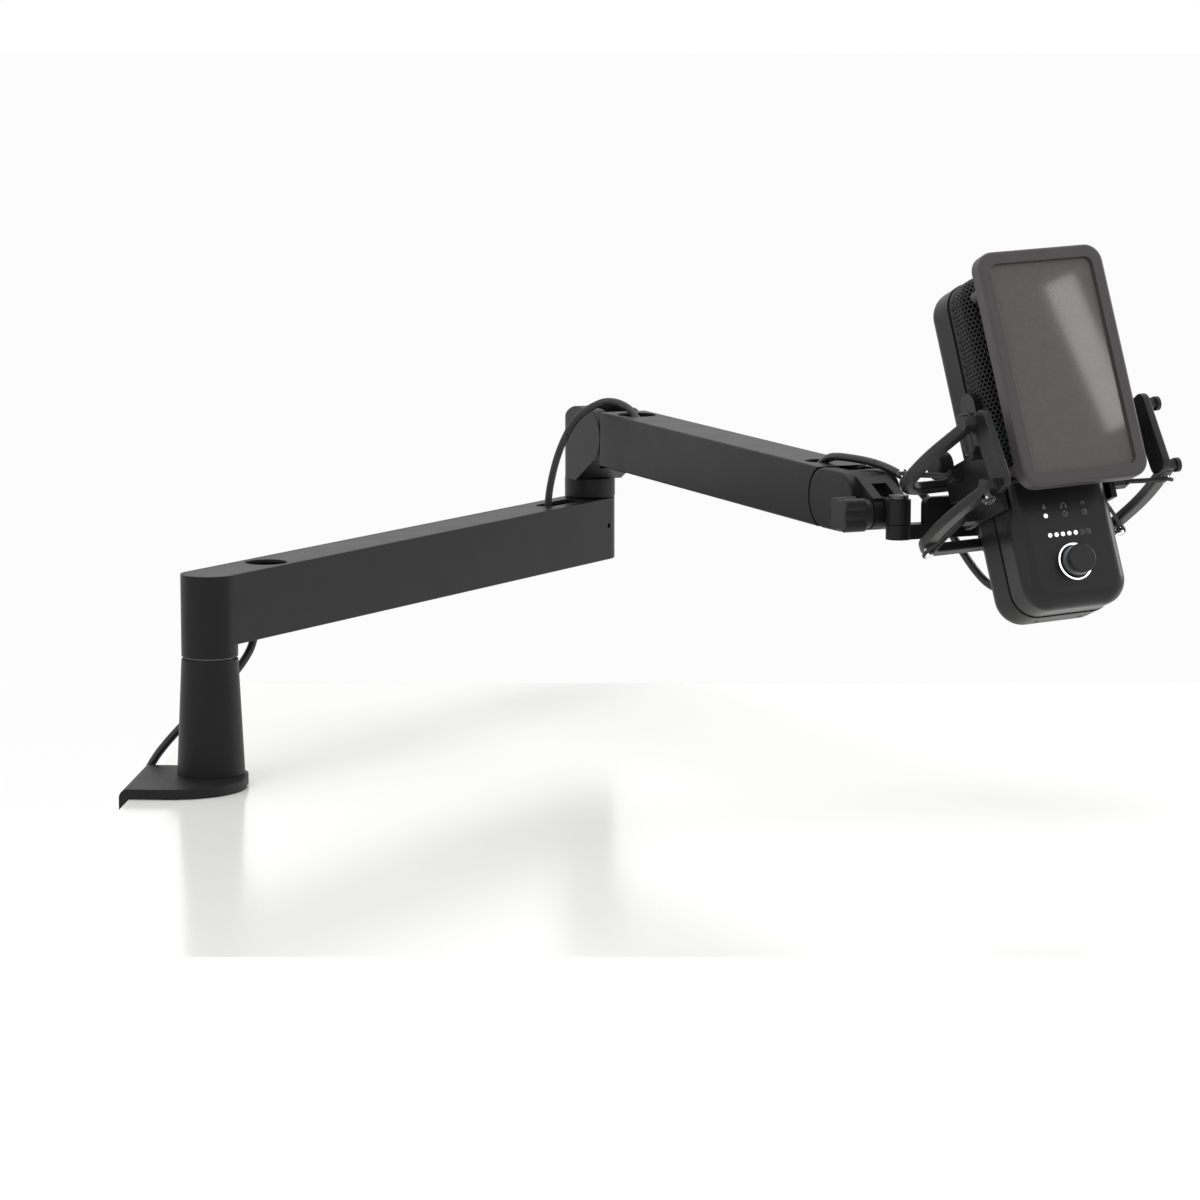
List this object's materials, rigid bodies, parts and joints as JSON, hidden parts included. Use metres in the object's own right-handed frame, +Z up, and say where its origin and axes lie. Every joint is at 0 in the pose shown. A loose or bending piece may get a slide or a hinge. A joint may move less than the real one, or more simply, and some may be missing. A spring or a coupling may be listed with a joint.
{
  "type": "desk arm microphone",
  "caption": "Slab-shaped condenser microphone with a clip-on pop filter in an elastic shock mount, on a low two-beam swivelling desk arm with a screw clamp and its cable.",
  "frame": {"origin": "riser's axis at the underside of the clamp's top plate, where it rests on the desk", "axes": "+Z up, +X from the desk edge into the desk, +Y along the desk edge"},
  "size_m": [0.5537, 0.435, 0.3882],
  "materials": {
    "satin_black": "satin",
    "arm_black": "satin",
    "bright_steel": "brushed",
    "dark_steel": "satin",
    "brass": "satin",
    "pad_rubber": "matt",
    "bush": "matt",
    "shell": "satin",
    "cover": "satin",
    "grille": "satin",
    "foam": "matt",
    "pop_grey": "satin",
    "pop_mesh": "satin",
    "ring_plastic": "satin",
    "elastic": "matt",
    "chrome": "polished",
    "board": "satin",
    "capsule": "satin",
    "led_on": "glowing",
    "led_off": "clear",
    "cable": "satin",
    "plug": "satin"
  },
  "bodies": {
    "base": {"clamp_bracket": "satin_black", "riser_column": "arm_black", "riser_bolts": "dark_steel", "swivel_spindle": "bright_steel", "cable_riser": "cable", "cable_coil": "cable", "usb_plug_host": "plug"},
    "clamp_foot": {"pressure_plate": "satin_black", "pressure_pad": "pad_rubber"},
    "clamp_screw": {"clamp_spindle": "dark_steel", "clamp_handle": "bright_steel"},
    "lower_arm": {"lower_beam": "arm_black", "arm_bushes": "bush", "cable_in_lower_arm": "cable"},
    "lower_lid": {"lower_cover": "shell"},
    "elbow_post": {"elbow_fork": "arm_black", "elbow_spindle": "bright_steel", "elbow_pins": "dark_steel", "cable_elbow": "cable"},
    "upper_arm": {"upper_beam": "arm_black", "pivot_tongues": "dark_steel", "balance_spring": "bright_steel", "spring_rod": "dark_steel", "cable_in_upper_arm": "cable", "cable_entry": "cable"},
    "upper_lid": {"upper_cover": "shell"},
    "parallel_rod": {"level_rod": "dark_steel"},
    "wrist": {"wrist_knuckle": "arm_black", "wrist_pins": "dark_steel", "tilt_axle": "dark_steel", "cable_wrist": "cable"},
    "knob": {"tilt_knob": "ring_plastic"},
    "head": {"head_tongue": "arm_black"},
    "shock_frame": {"mount_bracket": "arm_black", "mount_fasteners": "dark_steel", "cage_rings": "ring_plastic", "cage_hub_plate": "ring_plastic", "cage_front_posts": "ring_plastic", "cage_ring_pins": "chrome", "elastic_cords": "elastic", "cable_head": "cable"},
    "mic": {"cradle_yoke": "ring_plastic", "cradle_lock_knob": "ring_plastic", "mic_rear_shell": "shell", "mic_front_cover": "cover", "mic_grille": "grille", "grille_foam": "foam", "capsule_saddle": "plug", "capsule_element": "capsule", "circuit_boards": "board", "rear_ports": "bright_steel", "leds_lit": "led_on", "leds_unlit": "led_off", "dial_light_ring": "led_on", "case_screws": "dark_steel", "usb_plug_mic": "plug"},
    "pop_filter": {"pop_frame": "pop_grey", "pop_mesh": "pop_mesh"},
    "dial_button": {"dial_shaft": "bright_steel"},
    "dial": {"dial_knob": "plug"}
  },
  "joints": [
    {"name": "base_swivel", "type": "hinge", "parent": "base", "child": "lower_arm", "pos_m": [0, 0, 0.0848], "axis": [0, 0, 1], "range_deg": [-90, 90]},
    {"name": "lower_cover_lift", "type": "slide", "parent": "lower_arm", "child": "lower_lid", "axis": [0, 0, 1], "range_m": [0, 0.015]},
    {"name": "elbow_swivel", "type": "hinge", "parent": "lower_arm", "child": "elbow_post", "pos_m": [0.17061, 0.35292, 0.096], "axis": [0, 0, 1], "range_deg": [-25, 90]},
    {"name": "arm_pitch", "type": "hinge", "parent": "elbow_post", "child": "upper_arm", "pos_m": [0.18484, 0.32595, 0.147], "axis": [-0.8846, -0.4664, 0], "range_deg": [-8, 35]},
    {"name": "level_rod_swing", "type": "hinge", "parent": "elbow_post", "child": "parallel_rod", "pos_m": [0.18484, 0.32595, 0.138], "axis": [-0.8846, -0.4664, 0], "range_deg": [-8, 35]},
    {"name": "upper_cover_lift", "type": "slide", "parent": "upper_arm", "child": "upper_lid", "axis": [0.0072, -0.0136, 0.9999], "range_m": [0, 0.015]},
    {"name": "wrist_level", "type": "hinge", "parent": "upper_arm", "child": "wrist", "pos_m": [0.32334, 0.06326, 0.14244], "axis": [-0.8846, -0.4664, 0], "range_deg": [-35, 8]},
    {"name": "tilt_knob_spin", "type": "hinge", "parent": "wrist", "child": "knob", "pos_m": [0.34269, 0.02655, 0.13874], "axis": [0.8846, 0.4664, 0], "continuous": true},
    {"name": "head_tilt", "type": "hinge", "parent": "wrist", "child": "head", "pos_m": [0.34269, 0.02655, 0.13874], "axis": [-0.8846, -0.4664, 0], "range_deg": [-20, 25]},
    {"name": "head_swivel", "type": "hinge", "parent": "head", "child": "shock_frame", "pos_m": [0.34945, 0.01372, 0.13874], "axis": [0, 0, 1], "range_deg": [-15, 15]},
    {"name": "mic_float", "type": "slide", "parent": "shock_frame", "child": "mic", "axis": [-0.2856, 0.4311, 0.8559], "range_m": [-0.0025, 0.0025], "stiffness_N_per_m": 5000, "springref_m": 0.0007, "deforming": ["elastic_cords"]},
    {"name": "pop_filter_pull", "type": "slide", "parent": "mic", "child": "pop_filter", "axis": [0.4354, -0.8258, 0.3584], "range_m": [0, 0.025]},
    {"name": "dial_press", "type": "slide", "parent": "mic", "child": "dial_button", "axis": [-0.4354, 0.8258, -0.3584], "range_m": [0, 0.0005], "stiffness_N_per_m": 2000, "springref_m": -0.0006},
    {"name": "dial_turn", "type": "hinge", "parent": "dial_button", "child": "dial", "pos_m": [0.43661, -0.02943, 0.12181], "axis": [-0.4354, 0.8258, -0.3584], "continuous": true},
    {"name": "clamp_travel", "type": "slide", "parent": "base", "child": "clamp_foot", "axis": [0, 0, 1], "range_m": [-0.018, 0.015]},
    {"name": "clamp_turn", "type": "hinge", "parent": "clamp_foot", "child": "clamp_screw", "pos_m": [-0.002, -0.013, -0.06], "axis": [0, 0, 1], "range_deg": [-4320, 3600]}
  ],
  "couplings": [
    {"joint": "level_rod_swing", "follows": "arm_pitch", "ratio": 1},
    {"joint": "wrist_level", "follows": "arm_pitch", "ratio": -1},
    {"joint": "clamp_turn", "follows": "clamp_travel", "rad_per_m": 4188.8}
  ]
}
